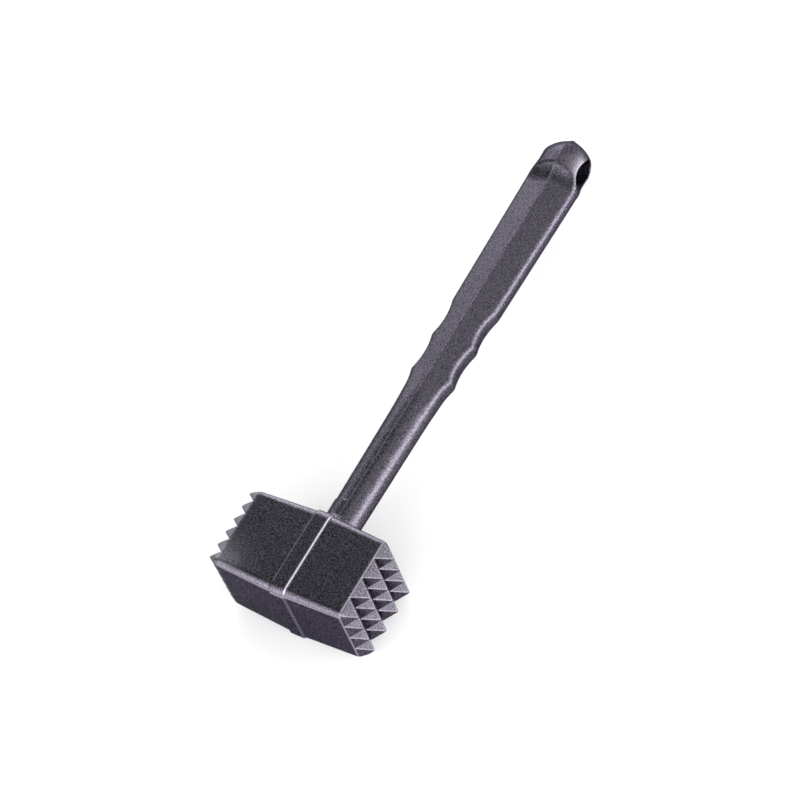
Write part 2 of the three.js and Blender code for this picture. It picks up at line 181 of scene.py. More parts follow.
@dataclass(frozen=True)
class Head:
    """The block with a toothed face at each end and a band round its middle. Lengths are in millimetres.

    Args:
        half_width: Half width of the block at the joint plane.
        corner_radius: Radius of its four long corners there.
        draft: How much narrower each half width gets for each millimetre from the joint plane.
        rim_radius: Radius of the edge round each toothed face.
        band_half_length: Distance from the joint plane to the foot of the band's side.
        band_slope_run: Length along which that side slopes.
        band_half_width: Half width over the band.
        band_corner_radius: Radius of the band's four corners.
        band_edge_radius: Radius of the band's edges.
        band_foot_radius: Radius of the fillet at the band's foot.
        rim_corner_radius: Radius of the long corners at each toothed face.
        teeth: The teeth of both halves.
    """

    half_width: float = 22.5
    corner_radius: float = 4.2
    draft: dict[Side, float] = field(default_factory=lambda: {Side.COARSE: 0.046, Side.FINE: 0.054})
    rim_radius: float = 0.55
    band_half_length: dict[Side, float] = field(default_factory=lambda: {Side.COARSE: 4.15, Side.FINE: 3.7})
    band_slope_run: dict[Side, float] = field(default_factory=lambda: {Side.COARSE: 0.5, Side.FINE: 0.35})
    band_half_width: float = 23.05
    band_corner_radius: float = 4.6
    band_edge_radius: float = 0.3
    band_foot_radius: float = 0.25
    rim_corner_radius: dict[Side, float] = field(default_factory=lambda: {Side.COARSE: 3.0, Side.FINE: 2.8})
    teeth: dict[Side, Teeth] = field(
        default_factory=lambda: {
            Side.COARSE: Teeth(rows=4, pitch=10.68, root=32.5, height=6.95),
            Side.FINE: Teeth(rows=6, pitch=7.12, root=34.8, height=5.35),
        }
    )

    @staticmethod
    def square(y: Array, z: Array, half: Array | float, radius: Array | float) -> Array:
        """Distance from a square with round corners: that from the smaller sharp square, less the radius.

        Args:
            y: First coordinate.
            z: Second coordinate.
            half: Half width of the square.
            radius: Radius of its corners.

        Returns:
            Signed distance, negative inside.
        """
        past_y = np.abs(y) - half + radius
        past_z = np.abs(z) - half + radius
        outside = np.hypot(np.maximum(past_y, 0), np.maximum(past_z, 0))
        return outside + np.minimum(np.maximum(past_y, past_z), 0) - radius

    def distance(self, side: Side, depth: Array, y: Array, z: Array) -> Array:
        """Distance from one half of the head.

        The block narrows by the draft for each millimetre from the joint plane, and its corner radius goes
        evenly from the one at the joint to the one at the rim. It keeps what lies inside the toothed face,
        and the band, whose sides slope, is joined on.

        Args:
            side: The half to shape.
            depth: Distance from the joint plane.
            y: Coordinate along the handle.
            z: Height above the middle of the head.

        Returns:
            Signed distance, negative inside.
        """
        teeth = self.teeth[side]
        rim_radius = self.rim_corner_radius[side]
        away = np.clip(depth, 0, teeth.root)
        radius = self.corner_radius + (rim_radius - self.corner_radius) * away / teeth.root
        draft = self.draft[side]
        block = self.square(y, z, self.half_width - draft * np.maximum(depth, 0), radius)
        rim_half = self.half_width - draft * teeth.root
        inset = -self.square(y, z, rim_half, rim_radius)
        face = teeth.distance(depth, y, z, inset, rim_half)
        block = round_meet(block, face, self.rim_radius)
        band = self.square(y, z, self.band_half_width, self.band_corner_radius)
        raised, run = self.band_half_width - self.half_width, self.band_slope_run[side]
        slope = (depth - self.band_half_length[side] + run) * raised + band * run
        band = round_meet(band, slope / np.hypot(raised, run), self.band_edge_radius)
        return round_join(block, band, self.band_foot_radius)

    def rim_distance(self, side: Side, depth: Array, y: Array, z: Array) -> Array:
        """Distance from the sharp edge that the sides and the toothed face would meet in.

        The distances from the plane of the teeth's foot and from the sides are the legs of a right triangle.

        Args:
            side: The half that is asked for.
            depth: Distance from the joint plane.
            y: Coordinate along the handle.
            z: Height above the middle of the head.

        Returns:
            The distance.
        """
        root = self.teeth[side].root
        inset = self.square(y, z, self.half_width - self.draft[side] * root, self.rim_corner_radius[side])
        return np.hypot(depth - root, inset)

    def band_side_distance(self, side: Side, depth: Array, y: Array, z: Array) -> Array:
        """Distance from the sloping side of the band.

        The legs of a right triangle are what lies beyond it along the depth, and what lies more than the
        corner radius away from the band's outline.

        Args:
            side: The half that is asked for.
            depth: Distance from the joint plane.
            y: Coordinate along the handle.
            z: Height above the middle of the head.

        Returns:
            The distance.
        """
        half_run = self.band_slope_run[side] / 2
        beyond = np.abs(depth - self.band_half_length[side] + half_run) - half_run
        outline = self.square(y, z, self.band_half_width, self.band_corner_radius)
        beside = np.abs(outline) - self.band_corner_radius
        return np.hypot(np.maximum(beyond, 0), np.maximum(beside, 0))


@dataclass(frozen=True)
class Handle:
    """The round neck, the waved and ridged grip and the eye with its hanging hole.

    Lengths are in millimetres, and places along the handle are measured from the middle of the head.

    Args:
        buried_end: Where the handle begins, inside the head.
        neck_start: Where the neck leaves the head.
        neck_end: Where it begins to widen to the first crest.
        neck_half_widths: Half widths at both ends of the neck.
        half_height: Half height of the neck and of the grip.
        first_crest: Place of the first crest of the finger waves.
        crest_pitch: Distance between crests.
        last_crest: Place of the last crest.
        crest_half_widths: Half widths at the first and at the last crest.
        scallop_depth: Depth of a wave under the line through the crests.
        crest_softness: Step between the places that are averaged to round a crest.
        grip_end: Where the grip ends.
        grip_end_half_width: Half width there.
        roof_start: Where the round section begins to turn into the ridged one.
        roof_slope: Slope of the facets, in radians.
        roof_edge_radius: Radius of the grip's long side edges.
        scoop_start: Where the ridge begins to climb in front of the eye.
        scoop_radius: Radius of that climb.
        scoop_reach: Share of that radius along which the ridge climbs.
        brow_radius: Radius of the edge between the scoop and the eye.
        eye_centre: Place of the eye's middle.
        eye_radii: Half axes of the eye's ellipsoid across, along and in height.
        eye_crest: Distance of the ellipsoid's middle beyond the joint plane.
        eye_taper: How much lower the eye gets for each millimetre before its middle.
        eye_drop: How much lower it gets at most.
        shoulder_end: Where the flare of the shoulders ends.
        shoulder_flare: Factor of the flare.
        shoulder_power: Power of the flare.
        bore_radius: Radius of the hanging hole in its middle.
        mouth_flare: How much wider its mouths are.
        mouth_start: Distance from the joint plane at which a mouth begins.
        mouth_end: Distance from it at which the mouth is whole.
        mouth_shift: How far the mouths lie towards the grip.
        mouth_stretch: How much longer they are than wide, as a share.
        mouth_edge_radius: Radius of their edges.
        flash_height: Height of the flash line along the joint.
        flash_half_width: How far it reaches from the joint plane.
        collar_end: Where the collar round the foot of the neck ends.
        collar_raise: Height of the collar.
        collar_edge_radius: Radius of its edge.
        collar_fade: Distances from the joint plane between which it rises.
    """

    buried_end: float = 12.0
    neck_start: float = 22.5
    neck_end: float = 102.5
    neck_half_widths: tuple[float, float] = (8.65, 9.75)
    half_height: float = 8.0
    first_crest: float = 112.4
    crest_pitch: float = 20.5
    last_crest: float = 153.4
    crest_half_widths: tuple[float, float] = (11.6, 12.4)
    scallop_depth: float = 1.7
    crest_softness: float = 0.45
    grip_end: float = 229.0
    grip_end_half_width: float = 13.9
    roof_start: float = 86.4
    roof_slope: float = radians(17.8)
    roof_edge_radius: float = 4.3
    scoop_start: float = 226.4
    scoop_radius: float = 14.6
    scoop_reach: float = 0.99
    brow_radius: float = 0.8
    eye_centre: float = 243.0
    eye_radii: tuple[float, float, float] = (21.5, 13.9, 13.5)
    eye_crest: float = 7.6
    eye_taper: float = 0.05
    eye_drop: float = 1.0
    shoulder_end: float = 238.0
    shoulder_flare: float = 0.004
    shoulder_power: float = 2.0
    bore_radius: float = 6.5
    mouth_flare: float = 0.1
    mouth_start: float = 5.5
    mouth_end: float = 12.0
    mouth_shift: float = 2.4
    mouth_stretch: float = 0.4
    mouth_edge_radius: float = 0.8
    flash_height: float = 0.15
    flash_half_width: float = 0.35
    collar_end: float = 36.8
    collar_raise: float = 0.45
    collar_edge_radius: float = 0.3
    collar_fade: tuple[float, float] = (0.3, 2.5)

    def sharp_half_width(self, y: Array) -> Array:
        """Half width along the handle before its crests are rounded.

        The neck widens evenly, then along a parabola to the first crest. Between crests a parabola dips by
        the scallop depth under the straight line through them. Past the last crest the grip widens evenly.

        Args:
            y: Places along the handle.

        Returns:
            The half width at each place.
        """
        root, neck_top = self.neck_half_widths
        first, last = self.crest_half_widths
        neck_share = np.clip((y - self.neck_start) / (self.neck_end - self.neck_start), 0, 1)
        lead = np.clip((y - self.neck_end) / (self.first_crest - self.neck_end), 0, 1)
        neck = root + neck_share * (neck_top - root) + lead**2 * (first - neck_top)
        wave_share = (y - self.first_crest) / (self.last_crest - self.first_crest)
        between = np.mod((y - self.first_crest) / self.crest_pitch, 1)
        waves = first + wave_share * (last - first) - self.scallop_depth * 4 * between * (1 - between)
        grip_share = (y - self.last_crest) / (self.grip_end - self.last_crest)
        grip = last + grip_share * (self.grip_end_half_width - last)
        return np.where(y < self.first_crest, neck, np.where(y < self.last_crest, waves, grip))

    def half_width(self, y: Array) -> Array:
        """Half width along the handle: the sharp one, averaged over nearby places by their weights.

        Args:
            y: Places along the handle.

        Returns:
            The half width at each place.
        """
        weights = {-2: 1, -1: 2, 0: 3, 1: 2, 2: 1}
        places = {shift: y + shift * self.crest_softness for shift in weights}
        total = sum(weight * self.sharp_half_width(places[shift]) for shift, weight in weights.items())
        return total / sum(weights.values())

    def roof(self, x: Array, z: Array, half_width: Array, ridge: Array) -> Array:
        """Distance from a bar with a ridge above and below, sloping facets and round side edges.

        Beside a corner it is the distance from the arc's centre less the arc's radius. Elsewhere it is the
        larger of the distances from the side and from the facet.

        Args:
            x: Distance from the joint plane.
            z: Height above the middle of the bar.
            half_width: Half width of the bar.
            ridge: Height of the ridge above the middle of the bar.

        Returns:
            Signed distance, negative inside.
        """
        rise, run = sin(self.roof_slope), cos(self.roof_slope)
        centre_x = half_width - self.roof_edge_radius
        centre_z = ridge - (self.roof_edge_radius + centre_x * rise) / run
        from_x = np.abs(x) - centre_x
        from_z = np.abs(z) - centre_z
        beside_corner = (from_z > 0) & (from_x * run > from_z * rise)
        corner = np.hypot(from_x, from_z) - self.roof_edge_radius
        side = np.abs(x) - half_width
        facet = np.abs(x) * rise + (np.abs(z) - ridge) * run
        return np.where(beside_corner, corner, np.maximum(side, facet))

    def bar(self, x: Array, y: Array, z: Array) -> Array:
        """Distance from the neck and the grip, without the eye.

        The section passes from the neck's ellipse to the grip's roof as smooth_step passes from 0 to 1. At
        the grip's end the ridge climbs along an arc, which makes the scoop in front of the eye.

        Args:
            x: Distance from the joint plane.
            y: Place along the handle.
            z: Height above the middle of the bar.

        Returns:
            Signed distance, negative inside.
        """
        half_width = self.half_width(y)
        along = np.clip(y - self.scoop_start, 0, self.scoop_radius * self.scoop_reach)
        ridge = self.half_height + self.scoop_radius - np.sqrt(self.scoop_radius**2 - along**2)
        neck = ellipse_distance([x, z], [half_width, self.half_height])
        share = smooth_step(y, self.roof_start, self.first_crest)
        return neck + share * (self.roof(x, z, half_width, ridge) - neck)

    def eye(self, x: Array, y: Array, z: Array) -> Array:
        """Distance from the eye's outside: an ellipsoid past its middle, and a flaring elliptic bar before it.

        Its centre lies beyond the joint plane, so that the two halves meet in a crest. Before the shoulder's
        end the half width grows by the flare times a power of the distance to that end. Before the eye's
        middle the half height falls by the taper for each millimetre, down to the drop.

        Args:
            x: Distance from the joint plane.
            y: Place along the handle.
            z: Height above the middle of the bar.

        Returns:
            Signed distance, negative inside.
        """
        radius_x, radius_y, radius_z = self.eye_radii
        before = np.maximum(self.eye_centre - y, 0)
        flare = self.shoulder_flare * np.maximum(self.shoulder_end - y, 0) ** self.shoulder_power
        past = np.maximum(y - self.eye_centre, 0)
        low = np.minimum(self.eye_taper * before, self.eye_drop)
        places = [np.abs(x) + self.eye_crest, past, z]
        return ellipse_distance(places, [radius_x + flare, radius_y, radius_z - low])

    def hole(self, x: Array, y: Array, z: Array) -> Array:
        """Distance from the hanging hole, which widens to both mouths and draws out towards the grip there.

        It is the distance from a line, with the part of it along the handle shifted by the mouth's shift and
        divided by one plus the mouth's stretch, less the radius. Shift, stretch and flare rise with the share
        that smooth_step gives between the mouth's start and its end.

        Args:
            x: Distance from the joint plane.
            y: Place along the handle.
            z: Height above the middle of the bar.

        Returns:
            Signed distance, negative inside the hole.
        """
        share = smooth_step(np.abs(x), self.mouth_start, self.mouth_end)
        along = (y - self.eye_centre + self.mouth_shift * share) / (1 + self.mouth_stretch * share)
        return np.hypot(along, z) - self.bore_radius - self.mouth_flare * share

    def distance(self, side: Side, depth: Array, y: Array, z: Array) -> Array:
        """Distance from one half of the handle.

        It is what lies in both the bar and the eye's outside, less the hole, past the buried end. The collar
        round the foot of the neck is on the fine side only. A fine flash line rises evenly towards the joint
        plane.

        Args:
            side: The half to shape.
            depth: Distance from the joint plane.
            y: Coordinate along the handle.
            z: Height above the middle of the head.

        Returns:
            Signed distance, negative inside.
        """
        bar = self.bar(depth, y, z)
        if side is Side.FINE:
            raised = self.collar_raise * smooth_step(depth, *self.collar_fade)
            bar = np.minimum(bar, round_meet(bar - raised, y - self.collar_end, self.collar_edge_radius))
        solid = round_meet(bar, self.eye(depth, y, z), self.brow_radius)
        solid = solid - self.flash_height * np.maximum(1 - depth / self.flash_half_width, 0)
        solid = round_meet(solid, -self.hole(depth, y, z), self.mouth_edge_radius)
        return np.maximum(solid, self.buried_end - y)


@dataclass(frozen=True)
class Lattice:
    """The uneven lattice on which a casting is sampled before it is meshed, in millimetres.

    Args:
        tooth_step: Spacing across the teeth, a whole share of both tooth pitches.
        head_reach: How far that spacing reaches from the middle of the head.
        depth_stops: Place and step of each stretch away from the joint plane, and the end.
        along_stops: The same along the handle, past the head.
    """

    tooth_step: float = 0.356
    head_reach: float = 23.6
    depth_stops: tuple[tuple[float, float], ...] = (
        (-0.15, 0.25),
        (0.1, 0.2),
        (0.7, 0.5),
        (2.7, 0.22),
        (4.46, 0.65),
        (14.2, 1.3),
        (31.4, 0.38),
        (39.9, 0.38),
    )
    along_stops: tuple[tuple[float, float], ...] = (
        (23.674, 0.5),
        (38.0, 1.2),
        (100.0, 0.75),
        (156.0, 1.3),
        (226.0, 0.42),
        (257.8, 0.42),
    )

    @staticmethod
    def graded(stops: tuple[tuple[float, float], ...]) -> Array:
        """Lattice planes between stops: each stretch is cut into equal steps, near the step its stop names.

        Args:
            stops: Place and step of the start of each stretch, and the end.

        Returns:
            The rising places of the planes.
        """
        planes = [np.array([stops[0][0]])]
        for (start, step), (end, _) in zip(stops, stops[1:]):
            count = max(round((end - start) / step), 1)
            planes.append(np.linspace(start, end, count + 1)[1:])
        return np.concatenate(planes)

    def axes(self) -> list[Array]:
        """Gives the lattice planes, with the ridges of the teeth midway between them.

        The stretches past the head are counted from one tooth step past the last plane across the teeth,
        where no plane is needed.

        Returns:
            The planes along depth, along the handle and in height.
        """
        half_count = round(self.head_reach / self.tooth_step)
        across = (np.arange(-half_count, half_count) + 0.5) * self.tooth_step
        along = np.concatenate([across, self.graded(self.along_stops)[1:]])
        return [self.graded(self.depth_stops), along, across]


@dataclass(frozen=True)
class Net:
    """A closed net of four-sided faces, open only where its casting meets the other one.

    Args:
        places: Depth, y and z of each vertex.
        faces: Four vertex numbers for each face.
    """

    places: Array
    faces: Array


def surface_net(distance: Distance, axes: list[Array]) -> Net:
    """Meshes the zero level of a distance, leaving out the faces that lie on the joint plane.

    Every lattice edge whose ends lie on different sides of the level gives one face, which joins the four
    cells round it. A cell's vertex is the mean of the crossings on the cell's edges.

    Args:
        distance: Signed distance of depth, y and z.
        axes: The lattice planes along depth, y and z. The first step along depth holds the joint plane.

    Returns:
        The net, with its faces turned outwards.
    """
    values = distance(*np.meshgrid(*axes, indexing="ij"))
    inside = values < 0
    cell_counts = tuple(count - 1 for count in values.shape)
    crossings, cells, kept = [], [], []
    for axis in range(3):
        lower = tuple(slice(0, -1) if other == axis else slice(None) for other in range(3))
        upper = tuple(slice(1, None) if other == axis else slice(None) for other in range(3))
        edges = np.argwhere(inside[lower] != inside[upper])
        step = np.eye(3, dtype=int)
        start = values[tuple(edges.T)]
        end = values[tuple((edges + step[axis]).T)]
        crossing = np.stack([plane[edges[:, other]] for other, plane in enumerate(axes)], axis=1)
        length = axes[axis][edges[:, axis] + 1] - axes[axis][edges[:, axis]]
        crossing[:, axis] += length * start / (start - end)
        second, third = step[(axis + 1) % 3], step[(axis + 2) % 3]
        corners = np.stack([edges - second - third, edges - third, edges, edges - second], axis=1)
        corners[start > 0] = corners[start > 0][:, ::-1]
        crossings.append(crossing)
        cells.append(np.ravel_multi_index(tuple(np.moveaxis(corners, 2, 0)), cell_counts))
        kept.append(edges[:, axis] > 0 if axis == 0 else np.ones(len(edges), dtype=bool))
    vertex = np.unique(np.concatenate(cells), return_inverse=True)[1].reshape(-1, 4)
    weights = np.repeat(np.concatenate(crossings), 4, axis=0)
    count = np.bincount(vertex.ravel())
    places = np.stack([np.bincount(vertex.ravel(), weights[:, axis]) for axis in range(3)], axis=1)
    faces = vertex[np.concatenate(kept)]
    used, faces = np.unique(faces, return_inverse=True)
    return Net((places / count[:, None])[used], faces.reshape(-1, 4))


def slope_of(distance: Distance, places: Array, reach: float = 0.01) -> Array:
    """Gradient of a distance, from differences over twice the reach along each axis.

    Args:
        distance: Signed distance of depth, y and z.
        places: One row for each place.
        reach: How far to look to each side.

    Returns:
        One gradient row for each place.
    """
    columns = []
    for axis in range(3):
        step = np.zeros(3)
        step[axis] = reach
        ahead = distance(*(places + step).T)
        behind = distance(*(places - step).T)
        columns.append((ahead - behind) / (2 * reach))
    return np.stack(columns, axis=1)


def settle(
    distance: Distance,
    places: Array,
    free: tuple[float, float, float] = (1, 1, 1),
    rounds: int = 4,
    longest: float = 0.3,
    flattest: float = 0.2,
) -> Array:
    """Moves places onto the zero level: each round steps down the gradient by the distance over its slope.

    Args:
        distance: Signed distance of depth, y and z.
        places: One row for each place.
        free: 1 for each axis along which the places may move, and 0 for the others.
        rounds: Number of steps.
        longest: Longest step.
        flattest: Least slope by which a distance is divided.

    Returns:
        The moved places.
    """
    for _ in range(rounds):
        value = distance(*places.T)
        slope = slope_of(distance, places) * free
        steepness = np.linalg.norm(slope, axis=1)
        length = np.clip(value / np.maximum(steepness, flattest), -longest, longest)
        places = places - slope / np.maximum(steepness, TINY)[:, None] * length[:, None]
    return places


@dataclass(frozen=True)
class PaintedHighlightPatch:
    """A round painted highlight: a place where the coating is painted lighter, standing in for light that
    falls there. Lengths are in millimetres.

    Args:
        side: The half that it lies on.
        place: Its middle: depth, y and z.
        radius: Radius at which it has faded to 1 / e.
        share: Painted lightening in its middle.
        upward: Upward parts of the surface normal at which the painted highlight begins and at which it is
            whole.
    """

    side: Side
    place: tuple[float, float, float]
    radius: float
    share: float
    upward: tuple[float, float]


@dataclass(frozen=True)
class Wear:
    """Where the coating is lighter: real wear on the sharp edges of the teeth, and painted highlights on the
    teeth's faces, the head's long corners, the rims, the band's sides and in patches. Lengths are in
    millimetres.

    Args:
        probe: How far below the surface an edge is felt for.
        slack: Share of the probe that is no edge yet.
        gain: Factor from the rest of that share to the wear.
        edge_share: Wear of the sharpest edges of the teeth.
        tooth_highlight_share: Painted highlight on those faces of the teeth that look up or down.
        tooth_turn: Upward or downward parts of the normal at which it begins and at which it is whole.
        tooth_fade: Height over the foot of the teeth along which it sets in.
        corner_highlight_share: Painted highlight on the four long corners of the head, on their half towards
            the end faces.
        corner_start: Upward or downward parts of the normal at which it begins and at which it is whole.
        corner_end: The same parts at which it begins to fade and at which it has ended.
        corner_zone: How far past the corner's arc it may reach.
        handle_corner_shift: How much further it reaches up and down on the handle's side.
        rim_highlight_share: Painted highlight along the edge round each toothed face.
        band_highlight_share: Painted highlight on the sloping sides of the band, on the head's upper and lower
            faces.
        band_side_highlight_share: Factor on that painted highlight on the other two faces.
        band_side_fade: How much further from the middle y lies than z where that factor is whole.
        rim_reach: Distances from that edge at which the painted highlight is whole and at which it has ended.
        band_reach: The same for the sides of the band.
        patches: Painted highlight patches: a painted reflection on a corner of the head's upper face, and a
            painted highlight beside the hanging hole.
    """

    probe: float = 0.9
    slack: float = 0.04
    gain: float = 8.0
    edge_share: float = 0.04
    # Painted highlight on the up- and down-facing faces of the teeth.
    tooth_highlight_share: dict[Side, float] = field(default_factory=lambda: {Side.COARSE: 0.15, Side.FINE: 0.4})
    tooth_turn: tuple[float, float] = (0.4, 0.7)
    tooth_fade: float = 0.4
    # Painted highlight along the head's long corners.
    corner_highlight_share: float = 0.65
    corner_start: tuple[float, float] = (0.06, 0.2)
    corner_end: tuple[float, float] = (0.3, 0.65)
    corner_zone: float = 2.0
    handle_corner_shift: float = 0.3
    # Painted highlight along the rim of each toothed face.
    rim_highlight_share: dict[Side, float] = field(default_factory=lambda: {Side.COARSE: 1.0, Side.FINE: 0.2})
    # Painted highlight on the band's sloping sides, weaker on the faces turned sideways.
    band_highlight_share: dict[Side, float] = field(default_factory=lambda: {Side.COARSE: 0.6, Side.FINE: 0.35})
    band_side_highlight_share: float = 0.35
    band_side_fade: float = 3.0
    rim_reach: tuple[float, float] = (0.25, 0.6)
    band_reach: tuple[float, float] = (0.05, 0.35)
    patches: tuple[PaintedHighlightPatch, ...] = (
        # Painted reflection: a lighter spot on the fine half's upper face near its corner, on faces turned up.
        PaintedHighlightPatch(Side.FINE, (34.5, -19.5, 21.0), 10.5, 1.0, (0.8, 1.0)),
        # Painted highlight on the eye's shoulder beside the hanging hole.
        PaintedHighlightPatch(Side.COARSE, (10.5, 241.0, 7.5), 5.0, 0.4, (0.3, 0.6)),
    )

    def share(self, side: Side, head: Head, surface: Distance, places: Array) -> Array:
        """Gives the lightening at each place, from 0 to 1: real wear and painted highlight.

        Below a flat or hollow surface the probe ends its own length deep. Below an edge it ends nearer to one
        of the faces, and what is missing tells how sharp the edge is; that is real wear. A painted highlight
        lies on the faces of the teeth and on the corners by how far their normal points up or down, and on the
        rim and the sides of the band by the distance from them. A painted highlight patch fades as e to the
        power of minus the square of the distance from its middle over its radius.

        Args:
            side: The half that the places lie on.
            head: The head, for its edges.
            surface: Signed distance of depth, y and z.
            places: One row for each place.

        Returns:
            The lightening: real wear and painted highlight.
        """
        slope = slope_of(surface, places)
        outwards = slope / np.maximum(np.linalg.norm(slope, axis=1), TINY)[:, None]
        turned = np.abs(outwards[:, 2])
        depth, y, z = places.T
        root = head.teeth[side].root
        # Real wear: the sharp edges of the teeth, felt for by the probe.
        missing = 1 + surface(*(places - outwards * self.probe).T) / self.probe
        worn_and_highlight = np.clip((missing - self.slack) * self.gain, 0, 1) * self.edge_share
        # Painted highlight: faces of the teeth turned up or down are painted lighter.
        worn_and_highlight = worn_and_highlight + self.tooth_highlight_share[side] * smooth_step(turned, *self.tooth_turn)
        worn_and_highlight = worn_and_highlight * smooth_step(depth, root, root + self.tooth_fade)
        # Painted highlight on the long corners, by how far the normal turns up or down.
        further = np.where(y > 0, self.handle_corner_shift, 0)
        corner_fade = smooth_step(turned - further, *self.corner_end)
        corner = smooth_step(turned, *self.corner_start) * (1 - corner_fade)
        arc_start = head.half_width - head.corner_radius - self.corner_zone
        at_corner = np.minimum(np.abs(y), np.abs(z)) > arc_start
        worn_and_highlight = np.where(at_corner & (depth < root), self.corner_highlight_share * corner, worn_and_highlight)
        # Painted highlight along the rim of each toothed face, fading with distance from it.
        rim = 1 - smooth_step(head.rim_distance(side, depth, y, z), *self.rim_reach)
        # Painted highlight on the sloping sides of the band, weaker on the faces turned sideways.
        band = 1 - smooth_step(head.band_side_distance(side, depth, y, z), *self.band_reach)
        sideways = smooth_step(np.abs(y) - np.abs(z), 0, self.band_side_fade)
        band = band * (1 - (1 - self.band_side_highlight_share) * sideways)
        worn_and_highlight = np.maximum(worn_and_highlight, np.maximum(self.rim_highlight_share[side] * rim, self.band_highlight_share[side] * band))
        # Painted highlight patches, on faces turned up, fading away from their middles.
        for patch in self.patches:
            if patch.side is side:
                away = np.linalg.norm(places - patch.place, axis=1) / patch.radius
                upward = smooth_step(outwards[:, 2], *patch.upward)
                worn_and_highlight = np.maximum(worn_and_highlight, patch.share * upward * np.exp(-(away**2)))
        return worn_and_highlight


@dataclass(frozen=True)
class Casting:
    """One half of the mallet, shaped by the head and the handle and closed by a flat joint face.

    Args:
        side: Which half it is.
        name: Name of its object.
        head: The head that it is half of.
        handle: The handle that it is half of.
        lattice: Where it is sampled.
        wear: Where its coating is lighter: real wear on the teeth's edges, and painted highlights elsewhere.
        root_fillet: Radius of the fillet where the neck leaves the head, in millimetres.
    """

    side: Side
    name: str
    head: Head
    handle: Handle
    lattice: Lattice
    wear: Wear = field(default_factory=Wear)
    root_fillet: float = 6.5

    def surface(self, depth: Array, y: Array, z: Array) -> Array:
        """Distance from the head and the handle, joined by a fillet and not yet cut at the joint plane.

        Args:
            depth: Distance from the joint plane.
            y: Coordinate along the handle.
            z: Height above the middle of the head.

        Returns:
            Signed distance in millimetres, negative inside.
        """
        head = self.head.distance(self.side, depth, y, z)
        handle = self.handle.distance(self.side, depth, y, z)
        return round_join(head, handle, self.root_fillet)

    def distance(self, depth: Array, y: Array, z: Array) -> Array:
        """Distance from this half, cut at the joint plane.

        Args:
            depth: Distance from the joint plane.
            y: Coordinate along the handle.
            z: Height above the middle of the head.

        Returns:
            Signed distance in millimetres, negative inside.
        """
        return np.maximum(self.surface(depth, y, z), -depth)

    def build(self) -> bpy.types.Object:
        """Meshes the half, moves it onto its place in metres and closes its joint face.

        The vertices of the first lattice layer are the outline of the joint face. They are set on the joint
        plane and settled within it, so that both halves meet there without a gap.

        Returns:
            The object, linked to the scene.
        """
        axes = self.lattice.axes()
        net = surface_net(self.distance, axes)
        outline = net.places[:, 0] < axes[0][1]
        places = net.places * np.where(outline[:, None], (0, 1, 1), 1)
        places[outline] = settle(self.surface, places[outline], free=(0, 1, 1))
        places[~outline] = settle(self.distance, places[~outline])
        # Lightening of the coating: real edge wear plus painted highlights.
        worn_and_highlight = self.wear.share(self.side, self.head, self.surface, places)
        places = places * [self.side.value, 1, 1] + [0, 0, self.head.band_half_width]
        faces = net.faces if self.side is Side.COARSE else net.faces[:, ::-1]
        mesh = bpy.data.meshes.new(self.name)
        mesh.from_pydata(places * MM, [], faces)
        mesh.polygons.foreach_set("use_smooth", np.ones(len(faces), dtype=bool))
        mesh.attributes.new(WEAR_AND_HIGHLIGHT, "FLOAT", "POINT").data.foreach_set("value", worn_and_highlight.astype(np.float32))
        self.close_joint(mesh)
        piece = bpy.data.objects.new(self.name, mesh)
        bpy.context.scene.collection.objects.link(piece)
        LOG.info("%s: %d faces", self.name, len(mesh.polygons))
        return piece

    @staticmethod
    def close_joint(mesh: bpy.types.Mesh) -> None:
        """Fills the flat joint face between the outline of the half and the outline of the hanging hole.

        Args:
            mesh: Mesh that is open along the joint plane only.
        """
        shape = bmesh.new()
        shape.from_mesh(mesh)
        rim = [edge for edge in shape.edges if edge.is_boundary]
        filled = bmesh.ops.triangle_fill(shape, edges=rim, use_dissolve=False, use_beauty=True)["geom"]
        for item in filled:
            if isinstance(item, bmesh.types.BMFace):
                item.smooth = False
        for edge in rim:
            edge.smooth = False
        bmesh.ops.recalc_face_normals(shape, faces=shape.faces)
        shape.to_mesh(mesh)
        shape.free()


